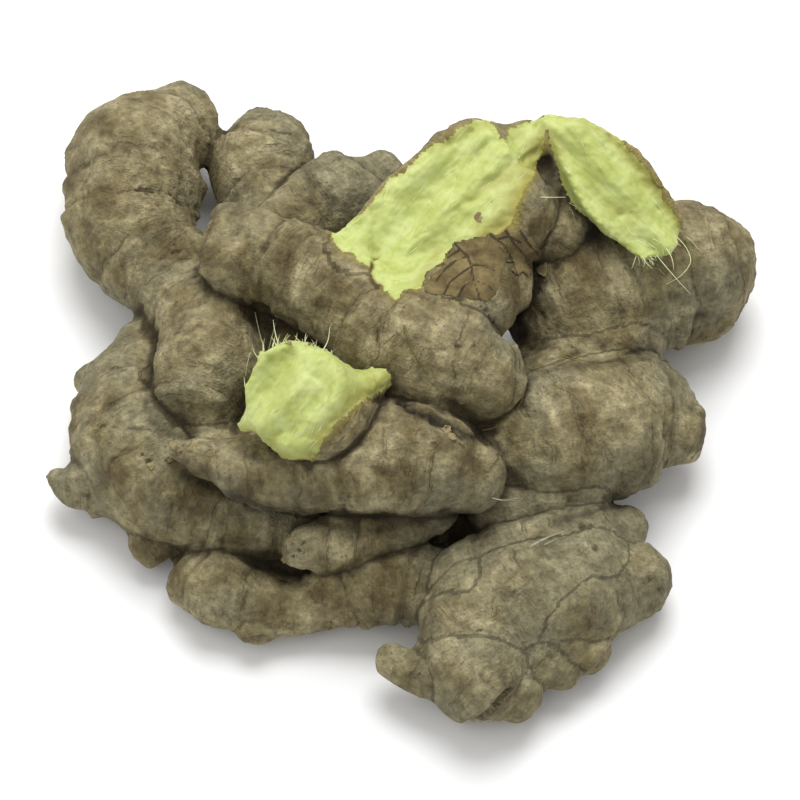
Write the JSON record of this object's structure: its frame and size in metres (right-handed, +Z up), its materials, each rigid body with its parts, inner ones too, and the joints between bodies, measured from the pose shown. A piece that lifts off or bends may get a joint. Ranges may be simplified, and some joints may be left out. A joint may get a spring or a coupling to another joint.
{
  "type": "ginger root",
  "caption": "Large hand of fresh ginger root with ringed fingers, knobbly buds and snapped ends that show pale flesh.",
  "frame": {"origin": "middle of the underside, on the table that the root lies on", "axes": "+Z up, +X the viewer's right, +Y away from the viewer"},
  "size_m": [0.1786, 0.182, 0.0638],
  "materials": {
    "skin": "dry matt skin, with rough yellow-green flesh on the torn faces"
  },
  "bodies": {
    "root": {"ginger_root": "skin"}
  },
  "joints": []
}
